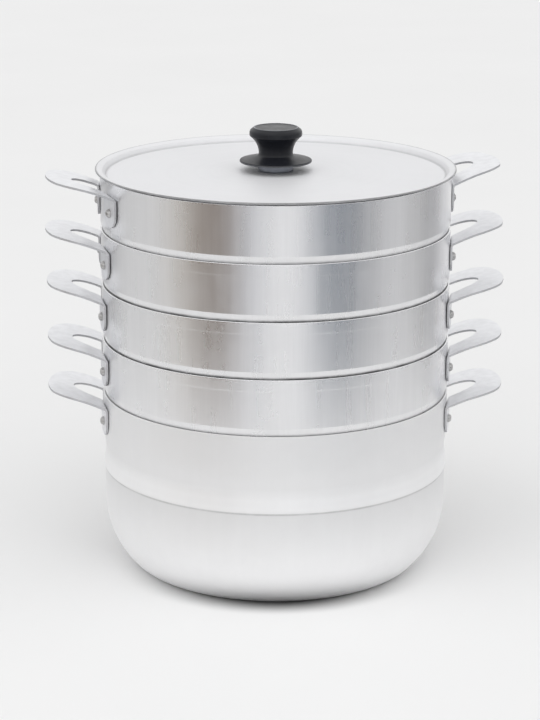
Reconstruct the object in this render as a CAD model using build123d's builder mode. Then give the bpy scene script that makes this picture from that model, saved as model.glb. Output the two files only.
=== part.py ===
from build123d import *
from math import asin, cos, degrees, radians, sin, tan
import os

os.makedirs("parts", exist_ok=True)

# A steamer of pressed aluminium: a deep pot, four perforated tiers that stand in
# each other's rims, and a lid with a moulded knob. Everything is drawn on the Z axis,
# the pot stands on Z = 0, and the handles point along X. Lengths are millimetres.

# Vessels
wall_radius = 150.0
sheet = 1.5
overrun = 5.0  # how far cuts run past the faces that they cut

# Pot, from the rim down: straight band, waist, lip, crease, straight wall, belly, heel
pot_height = 155.0
pot_band_height = 33.0
waist_taper_height = 18.0
waist_flare_height = 11.0
waist_depth = 1.65
lip_height = 5.0
crease_depth = 0.8
belly_radius = 76.0
belly_turn = 45.0
heel_radius = 15.0

# Tiers
tier_count = 4
tier_height = 48.0  # from one rim to the next
shoulder_height = 6.3  # the part of the seat cone that shows above the rim it stands in
spigot_depth = 10.5  # the part that reaches down inside that rim
seat_gap = 0.2  # between a seat cone and the edge that carries it
steam_hole_radius = 6.0
inner_ring_radius = 48.0
inner_ring_holes = 6
outer_ring_radius = 96.0
outer_ring_holes = 12
tier_1_turn = 1.3  # each tier was set down a little turned from the pot
tier_2_turn = 0.0
tier_3_turn = 5.0
tier_4_turn = 11.4

# Lid
lid_lip_overhang = 4.0
lid_lip_rise = 1.6
lid_seat_width = 1.7  # from the wall's outside in to the edge above the rim's inner edge
lid_step_width = 3.0
lid_step_depth = 4.2
lid_crown_rise = 2.0
lid_boss_radius = 19.0

# Knob, with its spacer collar, screw and washer
collar_radius = 15.0
collar_height = 7.5
flange_radius = 30.8
flange_edge = 1.5
flange_rise = 5.2
neck_base_radius = 16.4
neck_radius = 14.6
neck_height = 7.6
cheek_radius = 21.8
cheek_height = 21.9
head_radius = 22.3
head_height = 24.2
crown_radius = 18.4
knob_height = 30.0
dish_border = 1.0
dish_depth = 0.6
screw_radius = 2.5
screw_clearance = 0.25
screw_reach = 16.0  # depth of the screw's bore in the knob
screw_tip_gap = 1.0
screw_head_radius = 5.0
screw_head_height = 3.2
washer_radius = 8.0
washer_thickness = 1.2

# Handles: one stamped strip each, with two feet and a grip with a finger slot
plate = 1.8
foot_width = 24.5
foot_depth = 37.5  # from the rim down to the foot's round end
slot_width = 33.0
slot_start = 1.5  # from the wall out to where the slot's arch begins
slot_length = 24.5
grip_reach = 48.3
grip_rise = 15.3
tip_radius = 75.0  # the flat curve of the grip's end
corner_radius = 25.0
bend_depth = 9.0  # from the rim down to the fold
bend_radius = 2.0
foot_gap = 0.1
pot_handle_lift = 3.0  # the pot's handles sit that much nearer to its rim

# Rivets
rivet_depth = 25.0
rivet_radius = 2.2
rivet_head_radius = 3.8
rivet_crown_radius = 2.4
rivet_head_height = 1.6
rivet_tail = 0.6

# Rims, from the pot's up
rims = [pot_height + tier_height * step for step in range(tier_count + 1)]
turns = [0.0, tier_1_turn, tier_2_turn, tier_3_turn, tier_4_turn]

# The seat cone passes seat_gap inside the rim's inner edge
bore_radius = wall_radius - sheet
seat_radius = bore_radius - seat_gap
seat_slope = (wall_radius - seat_radius) / shoulder_height
floor_radius = seat_radius - seat_slope * spigot_depth

# Each foot stands square to the wall at its own angle from the handle's middle
foot_centre = (slot_width + foot_width) / 2
foot_angle = degrees(asin(foot_centre / wall_radius))
grip_half_width = slot_width / 2 + foot_width


def wall_plane(angle, radius, height=0.0):
    """The plane that touches a cylinder at an angle: its X runs along the wall, its Y up."""
    outward = Vector(cos(radians(angle)), sin(radians(angle)), 0)
    along = Vector(-sin(radians(angle)), cos(radians(angle)), 0)
    origin = outward * radius + Vector(0, 0, height)
    return Plane(origin=origin, x_dir=along, z_dir=outward)


def rivet_planes(turn, radius, height):
    """The four places of a vessel's rivets, two behind each handle."""
    angles = [turn + side + foot for side in (0, 180) for foot in (-foot_angle, foot_angle)]
    return [wall_plane(angle, radius, height) for angle in angles]


def vessel_turn(level):
    """How far a vessel stands turned: the pot is level 0, and a longer stack repeats the list."""
    return turns[level % len(turns)]


def rivet_height(level):
    lift = pot_handle_lift if level == 0 else 0
    return rims[level] - rivet_depth + lift


def save(piece, name):
    piece.label = name
    export_step(piece, f"parts/{name}.step")


# Pot: the outer skin is drawn from the rim to the middle of the base, and the sheet
# is laid inside it
with BuildPart() as pot_body:
    belly_down = belly_radius * sin(radians(belly_turn))
    heel_turn = 90 - belly_turn
    heel_down = heel_radius * (1 - sin(radians(belly_turn)))
    waist_top = pot_height - pot_band_height
    waist_bottom = waist_top - waist_taper_height
    lip_top = waist_bottom - waist_flare_height
    crease = lip_top - lip_height
    lower_radius = wall_radius - crease_depth
    with BuildSketch(Plane.XZ):
        with BuildLine() as skin:
            Polyline(
                (wall_radius, pot_height),
                (wall_radius, waist_top),
                (wall_radius - waist_depth, waist_bottom),
                (wall_radius, lip_top),
                (wall_radius, crease),
                (lower_radius, crease),
                (lower_radius, belly_down + heel_down),
            )
            belly = JernArc(skin.line @ 1, (0, -1), belly_radius, -belly_turn)
            heel = JernArc(belly @ 1, belly % 1, heel_radius, -heel_turn)
            Line(heel @ 1, (0, 0))
            offset(amount=sheet, side=Side.RIGHT, kind=Kind.INTERSECTION)
        make_face()
    revolve(axis=Axis.Z)
    with Locations(*rivet_planes(vessel_turn(0), wall_radius, rivet_height(0))):
        Hole(rivet_radius, depth=sheet + overrun)
save(pot_body.part, "pot_body")


# Tiers: a straight wall, the seat cone, and a flat floor with two rings of steam holes
with BuildPart() as tier_dish:
    with BuildSketch(Plane.XZ):
        with BuildLine():
            Polyline(
                (wall_radius, 0),
                (wall_radius, shoulder_height - tier_height),
                (floor_radius, -tier_height - spigot_depth),
                (0, -tier_height - spigot_depth),
            )
            offset(amount=sheet, side=Side.RIGHT, kind=Kind.INTERSECTION)
        make_face()
    revolve(axis=Axis.Z)
    with BuildSketch(Plane.XY.offset(-tier_height - spigot_depth)):
        with PolarLocations(inner_ring_radius, inner_ring_holes):
            Circle(steam_hole_radius)
        with PolarLocations(outer_ring_radius, outer_ring_holes):
            Circle(steam_hole_radius)
    extrude(amount=sheet, mode=Mode.SUBTRACT)
    with Locations(*rivet_planes(0, wall_radius, -rivet_depth)):
        Hole(rivet_radius, depth=sheet + overrun)

for level in range(1, tier_count + 1):
    with BuildPart() as dish:
        with Locations(Location((0, 0, rims[level]), (0, 0, vessel_turn(level)))):
            add(tier_dish.part)
    save(dish.part, f"tier_{level}_dish")

# Lid: a rolled-out lip that rests on the top rim, a step down inside it, and a panel
# that rises to a flat boss under the knob
lid_seat_radius = wall_radius - lid_seat_width
lid_step_radius = lid_seat_radius - lid_step_width
lid_seat_height = rims[-1] + seat_gap
lid_boss_height = lid_seat_height - lid_step_depth + lid_crown_rise
with BuildPart() as lid_disc:
    with BuildSketch(Plane.XZ):
        with BuildLine():
            Polyline(
                (wall_radius + lid_lip_overhang, lid_seat_height + lid_lip_rise),
                (lid_seat_radius, lid_seat_height),
                (lid_step_radius, lid_seat_height - lid_step_depth),
                (lid_boss_radius, lid_boss_height),
                (0, lid_boss_height),
            )
            offset(amount=sheet, side=Side.RIGHT, kind=Kind.INTERSECTION)
        make_face()
    revolve(axis=Axis.Z)
    with Locations((0, 0, lid_boss_height + sheet)):
        Hole(screw_radius + screw_clearance, depth=sheet + overrun)
save(lid_disc.part, "lid_disc")

# Knob: a flange, a narrow neck that flares into a round head, and a shallow dished crown
lid_top = lid_boss_height + sheet
knob_base = lid_top + collar_height
with BuildPart() as knob:
    with BuildSketch(Plane.XZ.shift_origin((0, 0, knob_base))):
        with BuildLine():
            foot = Polyline(
                (0, 0),
                (flange_radius, 0),
                (flange_radius, flange_edge),
                (neck_base_radius, flange_rise),
            )
            neck = TangentArc((neck_radius, neck_height), foot @ 1, tangent=(0, -1))
            cheek = TangentArc(neck @ 0, (cheek_radius, cheek_height), tangent=(0, 1))
            head = ThreePointArc(cheek @ 1, (head_radius, head_height), (crown_radius, knob_height))
            Polyline(
                head @ 1,
                (crown_radius - dish_border, knob_height - dish_depth),
                (0, knob_height - dish_depth),
                (0, 0),
            )
        make_face()
    revolve(axis=Axis.Z)
    with Locations((0, 0, knob_base)):
        Hole(screw_radius, depth=screw_reach)
save(knob.part, "knob")

# Collar: a spacer between the lid and the knob, with room for the screw
with BuildPart() as knob_collar:
    with BuildSketch(Plane.XY.offset(lid_top)):
        Circle(collar_radius)
        Circle(screw_radius + screw_clearance, mode=Mode.SUBTRACT)
    extrude(amount=collar_height)
save(knob_collar.part, "knob_collar")

# Washer and screw, from under the lid
with BuildPart() as knob_washer:
    with BuildSketch(Plane.XY.offset(lid_boss_height)):
        Circle(washer_radius)
        Circle(screw_radius + screw_clearance, mode=Mode.SUBTRACT)
    extrude(amount=-washer_thickness)
save(knob_washer.part, "knob_washer")

washer_face = lid_boss_height - washer_thickness
screw_tip = knob_base + screw_reach - screw_tip_gap
with BuildPart() as knob_screw:
    with BuildSketch(Plane.XY.offset(washer_face)):
        Circle(screw_head_radius)
    extrude(amount=-screw_head_height)
    with BuildSketch(Plane.XY.offset(washer_face)):
        Circle(screw_radius)
    extrude(amount=screw_tip - washer_face)
save(knob_screw.part, "knob_screw")

# Handle, drawn for a rim at Z = 0 on the +X side. One half is two flat slabs, the foot
# and the grip, folded together, cut to the stamped outline and then mirrored.
foot_face = wall_plane(foot_angle, wall_radius + foot_gap)
grip_slope = tan(radians(grip_rise))
grip_face = Plane(
    origin=(wall_radius + foot_gap, 0, -bend_depth),
    x_dir=(cos(radians(grip_rise)), 0, sin(radians(grip_rise))),
    z_dir=(-sin(radians(grip_rise)), 0, cos(radians(grip_rise))),
)


def fold_point(depth):
    """A point of the fold at the foot's middle, at a depth into both slabs."""
    out = wall_plane(foot_angle, wall_radius + foot_gap + depth).origin
    rise = (out.X - wall_radius - foot_gap) * grip_slope - depth / cos(radians(grip_rise))
    return (out.X, out.Y, rise - bend_depth)


with BuildPart() as handle:
    with BuildSketch(foot_face):
        Rectangle(foot_width + 2 * overrun, foot_depth, align=(Align.CENTER, Align.MAX))
    extrude(amount=plate)
    with BuildSketch(grip_face):
        with Locations((-grip_half_width, 0)):
            Rectangle(
                2 * grip_half_width + grip_reach,
                grip_half_width + overrun,
                align=(Align.MIN, Align.MIN),
            )
    extrude(amount=-plate)
    split(bisect_by=foot_face, keep=Keep.TOP)
    split(bisect_by=grip_face, keep=Keep.BOTTOM)
    fillet(handle.edges().sort_by_distance(fold_point(0))[0], bend_radius + plate)
    fillet(handle.edges().sort_by_distance(fold_point(plate))[0], bend_radius)

    # the outline in plan: straight sides, round corners that run into a flatter tip, and
    # an arched finger slot
    tip_centre = wall_radius + grip_reach - tip_radius
    behind_wall = wall_radius - grip_half_width
    corner_out = grip_half_width - corner_radius
    tip_turn = degrees(asin(corner_out / (tip_radius - corner_radius)))
    corner_centre = tip_centre + corner_out / tan(radians(tip_turn))
    with BuildSketch(Plane.XY.offset(-foot_depth - overrun)):
        with BuildLine():
            tip = CenterArc((tip_centre, 0), tip_radius, 0, tip_turn)
            corner = CenterArc((corner_centre, corner_out), corner_radius, tip_turn, 90 - tip_turn)
            slot = EllipticalCenterArc(
                (wall_radius + slot_start, 0),
                slot_length,
                slot_width / 2,
                start_angle=0,
                arc_size=90,
            )
            Line(slot @ 0, tip @ 0)
            Polyline(
                corner @ 1,
                (behind_wall, grip_half_width),
                (behind_wall, slot_width / 2),
                slot @ 1,
            )
        make_face()
    extrude(amount=foot_depth + grip_reach, mode=Mode.INTERSECT)

    # the round end of the foot, square to the grip's middle plane
    with BuildSketch(Plane.YZ):
        with Locations((foot_centre, foot_width / 2 - foot_depth)):
            Rectangle(
                foot_width + 2 * overrun,
                foot_width,
                align=(Align.CENTER, Align.MAX),
            )
            Circle(foot_width / 2, mode=Mode.SUBTRACT)
    extrude(amount=wall_radius + grip_reach, mode=Mode.SUBTRACT)
    with Locations(wall_plane(foot_angle, wall_radius, -rivet_depth)):
        Hole(rivet_radius, depth=plate + overrun)
    mirror(about=Plane.XZ)

# Rivet: a coned head on the foot, and a stem that stands a little proud inside the wall
stem = sheet + foot_gap + plate + rivet_tail
with BuildPart() as rivet:
    with BuildSketch(Plane.XZ):
        with BuildLine():
            Polyline(
                (0, -stem),
                (rivet_radius, -stem),
                (rivet_radius, 0),
                (rivet_head_radius, 0),
                (rivet_crown_radius, rivet_head_height),
                (0, rivet_head_height),
                close=True,
            )
        make_face()
    revolve(axis=Axis.Z)

# Two handles and four rivets on each vessel
for level in range(tier_count + 1):
    vessel = f"tier_{level}" if level else "pot"
    handle_height = rivet_height(level) + rivet_depth
    for side, turn in (("right", 0), ("left", 180)):
        with BuildPart() as placed_handle:
            with Locations(Location((0, 0, handle_height), (0, 0, vessel_turn(level) + turn))):
                add(handle.part)
        save(placed_handle.part, f"{vessel}_handle_{side}")
    with BuildPart() as vessel_rivets:
        foot_front = wall_radius + foot_gap + plate
        with Locations(*rivet_planes(vessel_turn(level), foot_front, rivet_height(level))):
            add(rivet.part)
    save(vessel_rivets.part, f"{vessel}_rivets")
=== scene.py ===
"""A stacking steamer of pressed aluminium: a deep pot, four pierced tiers and a lid.

Laid out as an add-on: the sizes, colours and studio values are property groups, each piece
has an operator of its own, and a panel in the sidebar lists them. Lengths in the functions
are metres, and everything stands on Z = 0 with the axis of the stack on Z.
"""

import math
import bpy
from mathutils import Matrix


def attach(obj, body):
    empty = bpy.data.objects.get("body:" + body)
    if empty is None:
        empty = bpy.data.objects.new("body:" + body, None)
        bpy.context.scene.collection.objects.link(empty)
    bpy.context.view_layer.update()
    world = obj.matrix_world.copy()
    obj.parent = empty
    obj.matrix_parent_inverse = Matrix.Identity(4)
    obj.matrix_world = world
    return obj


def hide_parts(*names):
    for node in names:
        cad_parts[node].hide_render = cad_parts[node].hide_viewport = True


bl_info = {
    "name": "Steamer Pot",
    "version": (1, 0, 0),
    "blender": (4, 5, 0),
    "location": "View3D > Sidebar > Steamer",
    "description": "Builds a stacking steamer from surfaces of revolution and folded strips",
    "category": "Add Mesh",
}

import bmesh
import bpy
import numpy as np
from mathutils import Matrix

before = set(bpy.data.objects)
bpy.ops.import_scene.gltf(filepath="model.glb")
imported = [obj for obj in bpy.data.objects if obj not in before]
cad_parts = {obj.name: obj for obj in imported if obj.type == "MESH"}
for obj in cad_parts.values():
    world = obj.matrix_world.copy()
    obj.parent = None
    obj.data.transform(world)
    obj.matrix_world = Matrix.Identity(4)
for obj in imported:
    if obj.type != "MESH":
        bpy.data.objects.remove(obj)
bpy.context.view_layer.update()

MM = 0.001
AROUND = 192  # steps round the axis of every large turned piece
TIERS = (1, 2, 3, 4)
SIDES = {"right": 0.0, "left": 180.0}
TURNS = (0.0, 1.3, 0.0, 5.0, 11.4)  # each vessel stands a little turned, the pot first
SEAT_SHADE = (0.3, 0.85, 0.8, 0.45)  # how dark the painted shade in each tier's seat is, where it sits in the rim below, from the lowest tier up
POT_PAINTED_SHADING = (
    (0.0, 1.0), (0.032, 1.0), (0.048, 0.975), (0.066, 0.93), (0.0862, 0.87), (0.0875, 0.95), (0.091, 1.0),
    (0.099, 1.0), (0.109, 0.915), (0.155, 0.90)
)  # painted light and shade on the pot's skin by height: lighter on the belly, darker under the crease and up the band

# The handle strip and what holds it, in millimetres
FOOT_WIDTH = 24.5
FOOT_DEPTH = 37.5  # from the rim down to the foot's round end
SLOT_HALF = 16.5  # half the finger slot's width
SLOT_FROM, SLOT_LONG = 1.5, 24.5  # from the wall out to the slot's arch, and the arch's length
FOLD_DEPTH, FOLD_RADIUS = 9.9, 3.8
GRIP_SLOPE, GRIP_BOW = 0.42, 0.0042  # the grip's rise by its distance from the wall
GRIP_CORNER, GRIP_TIP = 25.0, 75.0  # radii of the grip's corners and of its flatter end
FOOT_GAP = 0.1
RIVET_DEPTH = 25.0
POT_HANDLE_LIFT = 3.0  # the pot's handles sit that much nearer to its rim

# The pot, in millimetres: heights above its base, then depths and radii
CREASE, LIP_TOP, WAIST, BAND_FOOT = 88.0, 93.0, 104.0, 122.0
CREASE_DEPTH, WAIST_DEPTH = 0.8, 1.65
BELLY_RADIUS, HEEL_RADIUS, BELLY_TURN = 76.0, 15.0, 45.0  # the turn in degrees

# The tiers and the lid, in millimetres
SPIGOT = 10.5  # how far a tier reaches down inside the rim that carries it
SHOULDER, SEAT_FOOT = 6.3, 145.47  # the seat cone's height above that rim, its radius below
BAND_DEPTH, BAND_SWELL = 9.3, 0.04  # the rim's band, and how far it stands out
FLOOR_BOSS, RING_BORDER, FLOOR_EDGE = 20.0, 72.0, 120.0  # the borders of the two rings of holes
INNER_RING, OUTER_RING = 48.0, 96.0
SEAT_GAP = 0.2
LID_BOSS, LID_TROUGH = 2.2, 4.2  # how far the lid's middle and its trough lie under its seat
LIP_EDGE, LIP_RISE = 154.0, 1.6
SPACER_HEIGHT, SPACER_RADIUS = 7.5, 15.0
WASHER_RADIUS, WASHER_THICK = 8.0, 1.2
SCREW_HOLE, SCREW_REACH = 2.75, 15.0


# Sizes, colours and studio


def length(name, description, default):
    return bpy.props.FloatProperty(
        name=name, description=description, default=default, min=0.0, unit="LENGTH", precision=4
    )


def factor(name, description, default):
    return bpy.props.FloatProperty(
        name=name, description=description, default=default, min=0.0, max=1.0, subtype="FACTOR"
    )


def colour(name, description, default):
    return bpy.props.FloatVectorProperty(
        name=name, description=description, default=default, min=0.0, max=1.0, subtype="COLOR"
    )


class SteamerSizes(bpy.types.PropertyGroup):
    wall_radius: length("Wall radius", "Outside radius of every vessel's wall", 0.150)
    sheet: length("Sheet", "Thickness of the pressed sheet", 0.0015)
    pot_height: length("Pot height", "Height of the pot's rim", 0.155)
    tier_height: length("Tier height", "From one rim to the next", 0.048)
    plate: length("Handle plate", "Thickness of the handle strip", 0.0018)
    grip_reach: length("Grip reach", "How far a tier's handle stands out from the wall", 0.0470)
    pot_grip_reach: length("Pot grip reach", "How far the pot's handle stands out from the wall", 0.0478)
    steam_hole: length("Steam hole", "Radius of a hole in a tier's floor", 0.006)


class SteamerFinish(bpy.types.PropertyGroup):
    pot: colour("Pot", "Colour of the pot's matte aluminium", (0.95, 0.95, 0.955))
    pot_gloss: factor("Pot roughness", "Roughness of the pot", 0.52)
    tier: colour("Tiers", "Colour of the tiers' drawn aluminium", (0.85, 0.85, 0.86))
    tier_gloss: factor("Tier roughness", "Roughness of the tiers", 0.26)
    lid: colour("Lid", "Colour of the lid", (0.795, 0.797, 0.813))
    lid_gloss: factor("Lid roughness", "Roughness of the lid", 0.52)
    handle: colour("Handles", "Colour of the stamped handles", (0.835, 0.84, 0.86))
    handle_gloss: factor("Handle roughness", "Roughness of the handles", 0.42)
    rivet: colour("Rivets", "Colour of the rivets", (0.52, 0.515, 0.51))
    knob: colour("Knob", "Colour of the moulded knob", (0.010, 0.011, 0.015))
    knob_gloss: factor("Knob roughness", "Roughness of the knob", 0.31)
    collar: colour("Collar", "Colour of the spacer under the knob", (0.25, 0.265, 0.30))
    screw: colour("Screw", "Colour of the zinc-plated screw", (0.60, 0.61, 0.62))


class SteamerStudio(bpy.types.PropertyGroup):
    floor: colour("Floor", "Colour of the floor", (0.86, 0.86, 0.86))
    backdrop: colour("Backdrop", "What the camera sees beyond the floor", (0.855, 0.855, 0.858))
    surround: bpy.props.FloatProperty(
        name="Surround", description="Strength of the studio's walls and ceiling", default=1.0, min=0.0
    )
    sky: bpy.props.FloatProperty(
        name="Sky", description="Strength of the soft light on the floor", default=2.38, min=0.0
    )
    softbox: bpy.props.FloatProperty(
        name="Softbox",
        description="Power of the overhead softbox in watts",
        default=1.6,
        min=0.0,
        unit="POWER",
    )


# Outlines, in millimetres, as rows of (radius, height)


def arc(centre, radius, start, end, steps):
    """A circle's arc: centre + radius (cos a, sin a), a from start to end in degrees."""
    angle = np.radians(np.linspace(start, end, steps))
    return np.stack([centre[0] + radius * np.cos(angle), centre[1] + radius * np.sin(angle)], axis=-1)


def rounded(corners, radii, steps=7, lead=0.3):
    """A run of straight sides whose inner corners are rounded.

    At a corner c, with unit vectors p and q to its neighbours and h half the angle between
    them, the arc of radius R touches the sides at R / tan(h) from c, and its centre is
    m = c + R / sin(h) * (p + q) / |p + q|. With a and b from m to the touching points and w
    the angle between them, the arc is m + (sin((1 - t) w) a + sin(t w) b) / sin(w), t from
    0 to 1. A lead point before and after each arc keeps the sides flat in shading.
    """
    corners = np.asarray(corners, float)
    radii = np.asarray(radii, float)
    c = corners[1:-1]
    p, q = corners[:-2] - c, corners[2:] - c
    p_long, q_long = np.linalg.norm(p, axis=1), np.linalg.norm(q, axis=1)
    p, q = p / p_long[:, None], q / q_long[:, None]
    half = np.arccos(np.clip((p * q).sum(axis=1), -1, 1)) / 2
    touch = radii / np.tan(half)
    room = np.concatenate([[0], touch, [0]])
    lead_p = np.clip(0.4 * (p_long - touch - room[:-2]), 0, lead)[:, None]
    lead_q = np.clip(0.4 * (q_long - touch - room[2:]), 0, lead)[:, None]
    touch = touch[:, None]
    middle = (p + q) / np.linalg.norm(p + q, axis=1, keepdims=True)
    m = c + middle * (radii / np.sin(half))[:, None]
    a, b = c + p * touch - m, c + q * touch - m
    w = (math.pi - 2 * half)[:, None, None]
    t = np.linspace(0, 1, steps)[None, :, None]
    fan = m[:, None] + (np.sin((1 - t) * w) * a[:, None] + np.sin(t * w) * b[:, None]) / np.sin(w)
    before, after = c + p * (touch + lead_p), c + q * (touch + lead_q)
    body = np.concatenate([before[:, None], fan, after[:, None]], axis=1).reshape(-1, 2)
    return np.concatenate([corners[:1], body, corners[-1:]])


# Grids and meshes


def grid_faces(rows, columns, loop_rows=False, loop_columns=False):
    """The faces (i, j), (i+1, j), (i+1, j+1), (i, j+1) of a grid, wrapped where it is a loop."""
    i = np.arange(rows if loop_rows else rows - 1)
    j = np.arange(columns if loop_columns else columns - 1)
    i, j = np.meshgrid(i, j, indexing="ij")
    i_next, j_next = (i + 1) % rows, (j + 1) % columns
    corners = [i * columns + j, i_next * columns + j, i_next * columns + j_next, i * columns + j_next]
    return np.stack(corners, axis=-1).reshape(-1, 4)


def turned(outline, around=AROUND):
    """A surface of revolution: (r(v) cos u, r(v) sin u, z(v)), u once round the axis."""
    outline = np.asarray(outline, float) * MM
    u = np.linspace(0, 2 * math.pi, around, endpoint=False)[:, None]
    r, z = outline[None, :, 0], outline[None, :, 1]
    points = np.stack([r * np.cos(u), r * np.sin(u), z + 0 * u], axis=-1)
    return points.reshape(-1, 3), grid_faces(around, len(outline), loop_rows=True)


def spun(patch, angle):
    """The patch turned round Z by an angle in degrees."""
    points, faces = patch
    c, s = math.cos(math.radians(angle)), math.sin(math.radians(angle))
    return points @ np.array([[c, s, 0], [-s, c, 0], [0, 0, 1]]), faces


def raised(patch, height):
    """The patch moved up by a height in metres."""
    points, faces = patch
    return points + np.array([0, 0, height]), faces


def make_mesh(name, patches, outward=True):
    """Joins patches into one mesh with shared points; closed ones get outward normals."""
    starts = np.cumsum([0] + [len(points) for points, _ in patches])[:-1]
    points = np.concatenate([points for points, _ in patches])
    faces = np.concatenate([faces + start for (_, faces), start in zip(patches, starts)])
    mesh = bpy.data.meshes.new(name)
    mesh.from_pydata(points.tolist(), [], faces.tolist())
    work = bmesh.new()
    work.from_mesh(mesh)
    bmesh.ops.remove_doubles(work, verts=work.verts, dist=2e-6)
    if outward:
        bmesh.ops.recalc_face_normals(work, faces=work.faces)
    work.to_mesh(mesh)
    work.free()
    mesh.shade_smooth()
    return mesh


def place(name, mesh, material, body, nodes):
    """Puts a mesh in the scene as the piece that stands for the named CAD nodes."""
    piece = bpy.data.objects.new(name, mesh)
    bpy.context.scene.collection.objects.link(piece)
    mesh.materials.append(material)
    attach(piece, body)
    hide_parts(*nodes)
    return piece


# Shader nodes


class Shading:
    """Adds nodes to a tree; an input that is given as a socket is linked, another is set."""

    def __init__(self, tree):
        self.tree = tree

    def add(self, kind, inputs=(), **settings):
        node = self.tree.nodes.new(kind)
        for key, value in settings.items():
            setattr(node, key, value)
        for key, value in dict(inputs).items():
            if isinstance(value, bpy.types.NodeSocket):
                self.tree.links.new(value, node.inputs[key])
            else:
                node.inputs[key].default_value = value
        return node

    def math(self, operation, *values, clamp=False):
        node = self.add("ShaderNodeMath", dict(enumerate(values)), operation=operation, use_clamp=clamp)
        return node.outputs[0]

    def vector(self, operation, *values):
        node = self.add("ShaderNodeVectorMath", dict(enumerate(values)), operation=operation)
        return node.outputs["Value" if operation in ("LENGTH", "DOT_PRODUCT") else "Vector"]

    def noise(self, vector, scale, detail=3.0, roughness=0.5):
        inputs = {"Vector": vector, "Scale": scale, "Detail": detail, "Roughness": roughness}
        return self.add("ShaderNodeTexNoise", inputs).outputs["Fac"]

    def spread(self, value, low, high, to_low=0.0, to_high=1.0):
        inputs = {"Value": value, "From Min": low, "From Max": high, "To Min": to_low, "To Max": to_high}
        return self.add("ShaderNodeMapRange", inputs).outputs["Result"]

    def ease(self, value, low, high):
        inputs = {"Value": value, "From Min": low, "From Max": high}
        node = self.add("ShaderNodeMapRange", inputs, interpolation_type="SMOOTHSTEP")
        return node.outputs["Result"]

    def parts(self, vector):
        return self.add("ShaderNodeSeparateXYZ", {0: vector}).outputs

    def blend(self, amount, first, second, mode="MIX"):
        node = self.add("ShaderNodeMix", data_type="RGBA", blend_type=mode)
        for socket, value in zip((node.inputs[0], node.inputs[6], node.inputs[7]), (amount, first, second)):
            if isinstance(value, bpy.types.NodeSocket):
                self.tree.links.new(value, socket)
            else:
                socket.default_value = value
        return node.outputs[2]


def new_group(name, inputs, outputs):
    """An empty shader group with named float or vector inputs and named outputs."""
    tree = bpy.data.node_groups.new(name, "ShaderNodeTree")
    for label, default in inputs.items():
        kind = "NodeSocketVector" if default is None else "NodeSocketFloat"
        socket = tree.interface.new_socket(name=label, in_out="INPUT", socket_type=kind)
        if default is not None:
            socket.default_value = default
    for label in outputs:
        tree.interface.new_socket(name=label, in_out="OUTPUT", socket_type="NodeSocketFloat")
    ins, outs = tree.nodes.new("NodeGroupInput"), tree.nodes.new("NodeGroupOutput")
    return tree, ins.outputs, outs.inputs


def drawn_streaks():
    """Streaks that run up a drawn wall, and rings on a floor or panel that was spun."""
    if "drawn_streaks" in bpy.data.node_groups:
        return bpy.data.node_groups["drawn_streaks"]
    inputs = {"Vector": None, "Normal": None, "Seed": 0.0, "Fineness": 700.0}
    tree, given, out = new_group("drawn_streaks", inputs, ["Broad", "Fine", "Height"])
    s = Shading(tree)
    offset = s.add("ShaderNodeCombineXYZ", {"X": given["Seed"], "Y": given["Seed"], "Z": given["Seed"]})
    point = s.vector("ADD", given["Vector"], offset.outputs[0])
    wall = s.vector("MULTIPLY", point, (1.0, 1.0, 0.035))
    flat = s.vector("MULTIPLY", given["Vector"], (1.0, 1.0, 0.0))
    radius = s.vector("LENGTH", flat)
    ring = s.add("ShaderNodeCombineXYZ", {"X": radius, "Y": given["Seed"]}).outputs[0]
    up = s.parts(given["Normal"])["Z"]
    level = s.spread(s.math("ABSOLUTE", up), 0.6, 0.85)
    middle = s.add("ShaderNodeMix", {0: level, 4: wall, 5: ring}, data_type="VECTOR").outputs[1]
    broad = s.noise(middle, 90.0, 4.0, 0.6)
    fine = s.noise(middle, given["Fineness"], 1.0, 0.5)
    s.tree.links.new(s.spread(broad, 0.3, 0.7), out["Broad"])
    s.tree.links.new(s.spread(fine, 0.3, 0.7), out["Fine"])
    s.tree.links.new(s.math("MULTIPLY_ADD", fine, 0.5, s.math("MULTIPLY", broad, 0.3)), out["Height"])
    return tree


def handling_marks():
    """Cloudy wipe marks, and short fine scratches lying in three directions."""
    if "handling_marks" in bpy.data.node_groups:
        return bpy.data.node_groups["handling_marks"]
    tree, given, out = new_group("handling_marks", {"Vector": None, "Seed": 0.0}, ["Smudge", "Scratch"])
    s = Shading(tree)
    offset = s.add("ShaderNodeCombineXYZ", {"X": given["Seed"], "Y": given["Seed"], "Z": given["Seed"]})
    point = s.vector("ADD", given["Vector"], offset.outputs[0])
    cloud = s.noise(point, 22.0, 5.0, 0.6)
    s.tree.links.new(s.spread(cloud, 0.48, 0.72), out["Smudge"])
    lines = None
    for turn, squeeze in (((0.3, 0.2, 0.9), 0.03), ((1.1, 0.5, -0.6), 0.04), ((-0.5, 1.2, 2.1), 0.05)):
        across = {"Vector": point, "Rotation": turn, "Scale": (1.0, 1.0, squeeze)}
        turned_point = s.add("ShaderNodeMapping", across)
        hair = s.noise(turned_point.outputs[0], 1100.0, 1.0, 0.4)
        patchy = s.spread(s.noise(point, 60.0, 2.0), 0.52, 0.62)
        line = s.math("MULTIPLY", s.spread(hair, 0.70, 0.76), patchy)
        lines = line if lines is None else s.math("MAXIMUM", lines, line)
    s.tree.links.new(lines, out["Scratch"])
    return tree


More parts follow.
